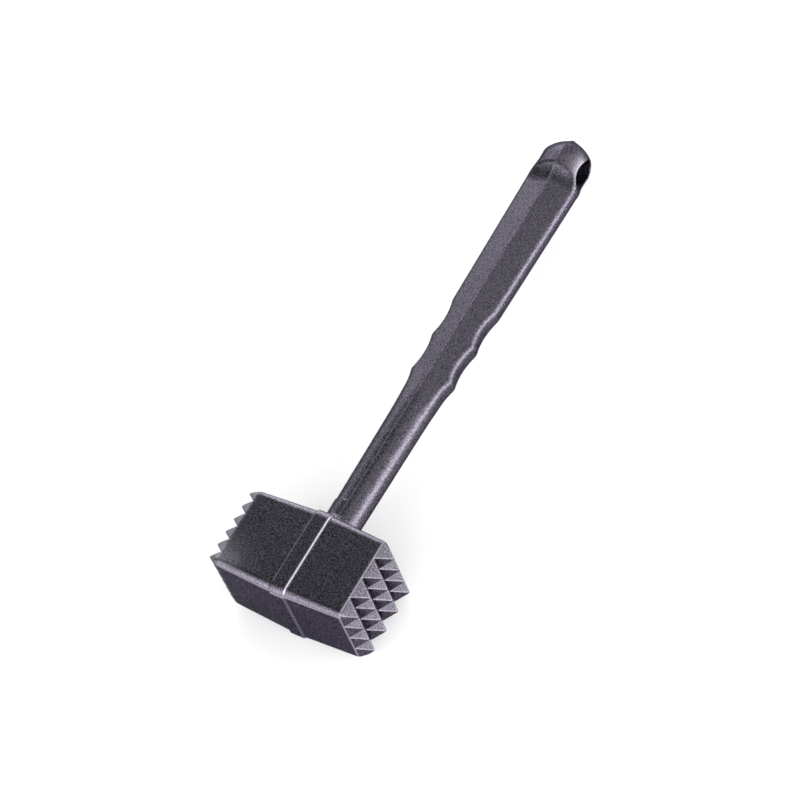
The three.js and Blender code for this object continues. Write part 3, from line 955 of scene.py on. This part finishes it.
class Graph:
    """A node tree, with short calls to add and join nodes.

    A Mix node has sockets for numbers and vectors as well, so its colour sockets are known by their places.
    """

    FIRST_COLOUR = 6
    SECOND_COLOUR = 7
    MIXED_COLOUR = 2

    def __init__(self, tree: bpy.types.NodeTree) -> None:
        """Empties the tree of a material or of the world."""
        self.tree = tree
        self.tree.nodes.clear()

    def add(self, kind: str, **settings: object) -> bpy.types.Node:
        """Adds a node.

        Args:
            kind: Node type, without its ShaderNode prefix.
            settings: Values for the node's own properties, or for its input sockets where a name ends in _in.

        Returns:
            The node.
        """
        node = self.tree.nodes.new("ShaderNode" + kind)
        for key, value in settings.items():
            if key.endswith("_in"):
                node.inputs[key[:-3].replace("_", " ")].default_value = value
            else:
                setattr(node, key, value)
        return node

    def join(self, output: bpy.types.NodeSocket, target: bpy.types.NodeSocket) -> None:
        """Links an output socket to an input socket."""
        self.tree.links.new(output, target)

    def grain(self, size: float, detail: float, roughness: float) -> bpy.types.Node:
        """Adds noise whose grains have this size in metres, laid on the object's own coordinates.

        Args:
            size: Size of a grain.
            detail: Number of finer layers.
            roughness: Strength of the finer layers.

        Returns:
            The noise node.
        """
        place = self.add("TexCoord")
        noise = self.add("TexNoise", Scale_in=1 / size, Detail_in=detail, Roughness_in=roughness)
        self.join(place.outputs["Object"], noise.inputs["Vector"])
        return noise

    def reckon(
        self, first: bpy.types.NodeSocket, second: bpy.types.NodeSocket | float, operation: str = "ADD"
    ) -> bpy.types.NodeSocket:
        """Adds two values, or puts another operation between them.

        Args:
            first: Socket of the first value.
            second: Socket or number.
            operation: Name of the operation.

        Returns:
            The socket of the result.
        """
        node = self.add("Math", operation=operation)
        self.join(first, node.inputs[0])
        if isinstance(second, bpy.types.NodeSocket):
            self.join(second, node.inputs[1])
        else:
            node.inputs[1].default_value = second
        return node.outputs[0]

    def fade(
        self, value: bpy.types.NodeSocket, factor: float, offset: float, level: float
    ) -> bpy.types.NodeSocket:
        """Gives the level times e to the power of the value times the factor plus the offset.

        Args:
            value: Socket to read.
            factor: Factor of the value.
            offset: What is added to it.
            level: Factor of the whole.

        Returns:
            The socket of the result.
        """
        power = self.reckon(self.reckon(value, factor, "MULTIPLY"), offset)
        risen = self.add("Math", operation="EXPONENT")
        self.join(power, risen.inputs[0])
        return self.reckon(risen.outputs[0], level, "MULTIPLY")

    def spread(
        self, value: bpy.types.NodeSocket, source: tuple[float, float], target: tuple[float, float]
    ) -> bpy.types.NodeSocket:
        """Maps a value from one range to another and keeps it inside.

        Args:
            value: Socket to read.
            source: Range that the value has.
            target: Range to map it to.

        Returns:
            The socket of the mapped value.
        """
        node = self.add("MapRange", From_Min_in=source[0], From_Max_in=source[1])
        node.inputs["To Min"].default_value, node.inputs["To Max"].default_value = target
        self.join(value, node.inputs["Value"])
        return node.outputs["Result"]

    def blend(
        self,
        share: bpy.types.NodeSocket,
        first: tuple[float, float, float] | bpy.types.NodeSocket,
        second: tuple[float, float, float] | bpy.types.NodeSocket,
    ) -> bpy.types.NodeSocket:
        """Mixes two colours by a share.

        Args:
            share: Share of the second colour.
            first: Colour or socket at share 0.
            second: Colour or socket at share 1.

        Returns:
            The socket of the mixed colour.
        """
        node = self.add("Mix", data_type="RGBA")
        self.join(share, node.inputs["Factor"])
        for colour, place in ((first, self.FIRST_COLOUR), (second, self.SECOND_COLOUR)):
            target = node.inputs[place]
            if isinstance(colour, bpy.types.NodeSocket):
                self.join(colour, target)
            else:
                target.default_value = (*colour, 1)
        return node.outputs[self.MIXED_COLOUR]

    def finish(self, shader: bpy.types.NodeSocket) -> None:
        """Sends the shader to the material's output."""
        output = self.add("OutputMaterial")
        self.join(shader, output.inputs["Surface"])


def new_material(name: str) -> bpy.types.Material:
    """Makes a material with a node tree.

    Args:
        name: Name of the material.

    Returns:
        The material.
    """
    material = bpy.data.materials.new(name)
    material.use_nodes = True
    return material


@dataclass(frozen=True)
class SpeckledCoating:
    """Dark violet-grey baked coating with fine light flecks over cast metal.

    Args:
        dark: Colour between the flecks.
        light: Colour of the flecks.
        worn_and_highlight: Colour where it has rubbed lighter, and of the painted highlights.
        edge_tint: Tint of what it mirrors at a grazing angle.
        grain_size: Size of a fleck, in metres.
        grain_detail: Number of finer layers of flecks.
        grain_roughness: Strength of the finer layers.
        tone_range: Values of the grain at which the colour is dark and light.
        gloss_range: Values of the grain at which the roughness is least and greatest.
        roughness: Least and greatest roughness.
        bump_distance: Height of the relief, in metres.
        bump_strength: Strength of the relief.
    """

    dark: tuple[float, float, float] = (0.033, 0.03, 0.042)
    light: tuple[float, float, float] = (0.165, 0.153, 0.187)
    # Colour of real wear and of the painted highlights.
    worn_and_highlight: tuple[float, float, float] = (0.37, 0.345, 0.405)
    edge_tint: tuple[float, float, float] = (0.34, 0.335, 0.355)
    grain_size: float = 0.0006
    grain_detail: float = 2.0
    grain_roughness: float = 0.6
    tone_range: tuple[float, float] = (0.355, 0.695)
    gloss_range: tuple[float, float] = (0.3, 0.7)
    roughness: tuple[float, float] = (0.2, 0.4)
    bump_distance: float = 0.00008
    bump_strength: float = 0.3

    def material(self) -> bpy.types.Material:
        """Builds the material: two tones in fine grain, lighter by the wear and by painted highlights, uneven
        gloss and a relief.

        Returns:
            The material.
        """
        material = new_material("speckled_coating")
        graph = Graph(material.node_tree)
        grain = graph.grain(self.grain_size, self.grain_detail, self.grain_roughness)
        tone = graph.spread(grain.outputs["Fac"], self.tone_range, (0, 1))
        colour = graph.blend(tone, self.dark, self.light)
        # Lightens the coating by the attribute: real edge wear and painted highlights.
        rubbed = graph.add("Attribute", attribute_name=WEAR_AND_HIGHLIGHT)
        colour = graph.blend(rubbed.outputs["Fac"], colour, self.worn_and_highlight)
        gloss = graph.spread(grain.outputs["Fac"], self.gloss_range, self.roughness)
        relief = graph.add("Bump", Strength_in=self.bump_strength, Distance_in=self.bump_distance)
        graph.join(grain.outputs["Fac"], relief.inputs["Height"])
        shader = graph.add("BsdfPrincipled", Metallic_in=1, Specular_Tint_in=(*self.edge_tint, 1))
        graph.join(colour, shader.inputs["Base Color"])
        graph.join(gloss, shader.inputs["Roughness"])
        graph.join(relief.outputs["Normal"], shader.inputs["Normal"])
        graph.finish(shader.outputs["BSDF"])
        return material


@dataclass(frozen=True)
class GroundSteel:
    """Bare steel of the dowels, with fine grinding lines round them.

    Args:
        dark: Colour of the lines.
        light: Colour between them.
        grain_size: Size of the grain that is stretched into lines, in metres.
        grain_detail: Number of finer layers.
        stretch: Factors on the coordinates, along the dowels and across them.
        tone_range: Values of the grain at which the colour is dark and light.
        roughness: Roughness of the dark and of the light.
    """

    dark: tuple[float, float, float] = (0.5, 0.51, 0.53)
    light: tuple[float, float, float] = (0.68, 0.69, 0.71)
    grain_size: float = 0.0004
    grain_detail: float = 3.0
    stretch: tuple[float, float, float] = (4.0, 0.3, 0.3)
    tone_range: tuple[float, float] = (0.3, 0.7)
    roughness: tuple[float, float] = (0.2, 0.34)

    def material(self) -> bpy.types.Material:
        """Builds the material: grain stretched across the dowels, in colour and in gloss.

        Returns:
            The material.
        """
        material = new_material("ground_steel")
        graph = Graph(material.node_tree)
        place = graph.add("TexCoord")
        turn = graph.add("Mapping", Scale_in=self.stretch)
        noise = graph.add("TexNoise", Scale_in=1 / self.grain_size, Detail_in=self.grain_detail)
        graph.join(place.outputs["Object"], turn.inputs["Vector"])
        graph.join(turn.outputs["Vector"], noise.inputs["Vector"])
        tone = graph.spread(noise.outputs["Fac"], self.tone_range, (0, 1))
        shader = graph.add("BsdfPrincipled", Metallic_in=1)
        graph.join(graph.blend(tone, self.dark, self.light), shader.inputs["Base Color"])
        graph.join(graph.spread(tone, (0, 1), self.roughness), shader.inputs["Roughness"])
        graph.finish(shader.outputs["BSDF"])
        return material


@dataclass(frozen=True)
class Glow:
    """A round soft patch of light in the sky.

    Args:
        azimuth: Degrees from +X towards +Y.
        elevation: Degrees above the horizon.
        level: Brightness of its middle, where 1 is white.
        sharpness: It fades as e to the power of minus this times (1 - cosine of the angle from its middle).
    """

    azimuth: float
    elevation: float
    level: float
    sharpness: float = 16.0

    @property
    def direction(self) -> Vector:
        """Unit direction from the mallet to the middle of the patch."""
        turn, rise = radians(self.azimuth), radians(self.elevation)
        return Vector((cos(rise) * cos(turn), cos(rise) * sin(turn), sin(rise)))


@dataclass(frozen=True)
class Studio:
    """Pale floor, a sky of soft glows above a pale horizon, and the camera of the photograph.

    Args:
        floor_half_width: Half width of the square floor, in metres.
        floor_colour: Colour of the floor.
        floor_glow: How much the floor glows where it is seen or mirrored.
        glows: The patches of light in the sky.
        horizon_level: Brightness of the pale ring along the horizon.
        horizon_sharpness: The ring fades as e to the power of minus this times the squared rise.
        sky_level: Even brightness of the sky.
        camera_place_mm: Place of the camera.
        camera_right: Direction to its right.
        camera_up: Direction above it.
        camera_lens: Focal length, in millimetres.
        sensor_width: Width of its sensor, in millimetres.
    """

    floor_half_width: float = 6.0
    floor_colour: tuple[float, float, float] = (0.78, 0.78, 0.78)
    floor_glow: float = 0.12
    glows: tuple[Glow, ...] = (
        Glow(0, 3, 3.4),
        Glow(22, 10, 6.5, 24.0),
        Glow(60, 3, 1.6),
        Glow(118, 10, 6.5, 20.0),
        Glow(120, 34, 4.0, 40.0),
        Glow(240, 3, 6.5),
        Glow(300, 3, 1.9),
        Glow(330, 3, 2.6),
        Glow(15, 22, 1.2),
        Glow(45, 22, 3.0),
        Glow(145, 16, 3.0, 20.0),
        Glow(240, 22, 2.6),
        Glow(315, 22, 4.0),
        Glow(345, 22, 5.0),
        Glow(240, 44, 2.4),
        Glow(278, 46, 1.4),
        Glow(58, 66, 1.5),
    )
    horizon_level: float = 0.7
    horizon_sharpness: float = 8.0
    sky_level: float = 0.06
    camera_place_mm: tuple[float, float, float] = (581.29, -414.85, 1170.20)
    camera_right: tuple[float, float, float] = (0.84377, 0.49178, -0.21494)
    camera_up: tuple[float, float, float] = (-0.32736, 0.78895, 0.52000)
    camera_lens: float = 133.97
    sensor_width: float = 36.0

    def seen_share(self, graph: Graph) -> bpy.types.NodeSocket:
        """Gives 1 for a camera, glossy or transmission ray and 0 for any other.

        Args:
            graph: Node tree to add to.

        Returns:
            The socket of that value.
        """
        path = graph.add("LightPath")
        seen = graph.reckon(path.outputs["Is Camera Ray"], path.outputs["Is Glossy Ray"], "MAXIMUM")
        return graph.reckon(seen, path.outputs["Is Transmission Ray"], "MAXIMUM")

    def build_floor(self) -> None:
        """Adds the floor: a pale matt surface that keeps the shadow and glows a little where it is seen."""
        material = new_material("pale_floor")
        graph = Graph(material.node_tree)
        matt = graph.add("BsdfDiffuse", Color_in=(*self.floor_colour, 1))
        glow = graph.add("Emission")
        strength = graph.reckon(self.seen_share(graph), self.floor_glow, "MULTIPLY")
        graph.join(strength, glow.inputs["Strength"])
        both = graph.add("AddShader")
        graph.join(matt.outputs[0], both.inputs[0])
        graph.join(glow.outputs[0], both.inputs[1])
        graph.finish(both.outputs[0])
        half = self.floor_half_width
        corners = [(-half, -half, 0), (half, -half, 0), (half, half, 0), (-half, half, 0)]
        mesh = bpy.data.meshes.new("studio_floor")
        mesh.from_pydata(corners, [], [(0, 1, 2, 3)])
        mesh.materials.append(material)
        floor = bpy.data.objects.new("studio_floor", mesh)
        bpy.context.scene.collection.objects.link(floor)

    def build_sky(self) -> None:
        """Sets the world: an even level, a pale ring along the horizon and the glows."""
        world = bpy.data.worlds.new("studio_sky")
        world.use_nodes = True
        bpy.context.scene.world = world
        graph = Graph(world.node_tree)
        place = graph.add("TexCoord").outputs["Generated"]
        parts = graph.add("SeparateXYZ")
        graph.join(place, parts.inputs[0])
        squared = graph.reckon(parts.outputs["Z"], 2, "POWER")
        total = graph.fade(squared, -self.horizon_sharpness, 0, self.horizon_level)
        total = graph.reckon(total, self.sky_level)
        for glow in self.glows:
            cosine = graph.add("VectorMath", operation="DOT_PRODUCT")
            graph.join(place, cosine.inputs[0])
            cosine.inputs[1].default_value = glow.direction
            patch = graph.fade(cosine.outputs["Value"], glow.sharpness, -glow.sharpness, glow.level)
            total = graph.reckon(total, patch)
        sky = graph.add("Background")
        graph.join(total, sky.inputs["Strength"])
        output = graph.add("OutputWorld")
        graph.join(sky.outputs[0], output.inputs["Surface"])

    def build_camera(self) -> None:
        """Adds the camera, placed and turned as the photograph's."""
        camera = bpy.data.cameras.new("photo_camera")
        camera.sensor_fit = "HORIZONTAL"
        camera.sensor_width = self.sensor_width
        camera.lens = self.camera_lens
        right, up = Vector(self.camera_right), Vector(self.camera_up)
        back = right.cross(up).normalized()
        turn = Matrix((right, back.cross(right), back)).transposed()
        holder = bpy.data.objects.new("photo_camera", camera)
        place = Vector(self.camera_place_mm) * MM
        holder.matrix_world = Matrix.Translation(place) @ turn.to_4x4()
        bpy.context.scene.collection.objects.link(holder)
        bpy.context.scene.camera = holder

    def build(self) -> None:
        """Builds the floor, the sky and the camera, and leaves colours as they are written."""
        self.build_floor()
        self.build_sky()
        self.build_camera()
        bpy.context.scene.view_settings.view_transform = "Standard"


@dataclass
class Mallet:
    """The whole mallet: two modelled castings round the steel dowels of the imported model.

    Args:
        head: Sizes of the head.
        handle: Sizes of the handle.
        lattice: Where the castings are sampled.
        coating: Finish of the castings.
        steel: Finish of the dowels.
    """

    head: Head = field(default_factory=Head)
    handle: Handle = field(default_factory=Handle)
    lattice: Lattice = field(default_factory=Lattice)
    coating: SpeckledCoating = field(default_factory=SpeckledCoating)
    steel: GroundSteel = field(default_factory=GroundSteel)

    def build(self) -> None:
        """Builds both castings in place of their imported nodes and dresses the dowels."""
        coating = self.coating.material()
        for side, name, node in (
            (Side.COARSE, "coarse_casting_body", "coarse_side_casting"),
            (Side.FINE, "fine_casting_body", "fine_side_casting"),
        ):
            piece = Casting(side, name, self.head, self.handle, self.lattice).build()
            piece.data.materials.append(coating)
            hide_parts(node)
            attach(piece, BODY)
        steel = self.steel.material()
        for name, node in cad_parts.items():
            if "dowel" in name:
                node.data.materials.clear()
                node.data.materials.append(steel)
                LOG.info("%s: ground steel", name)


def main() -> None:
    """Builds the studio and the mallet."""
    logging.basicConfig(level=logging.INFO, format="%(name)s: %(message)s")
    Studio().build()
    Mallet().build()


if __name__ == "__main__":
    main()
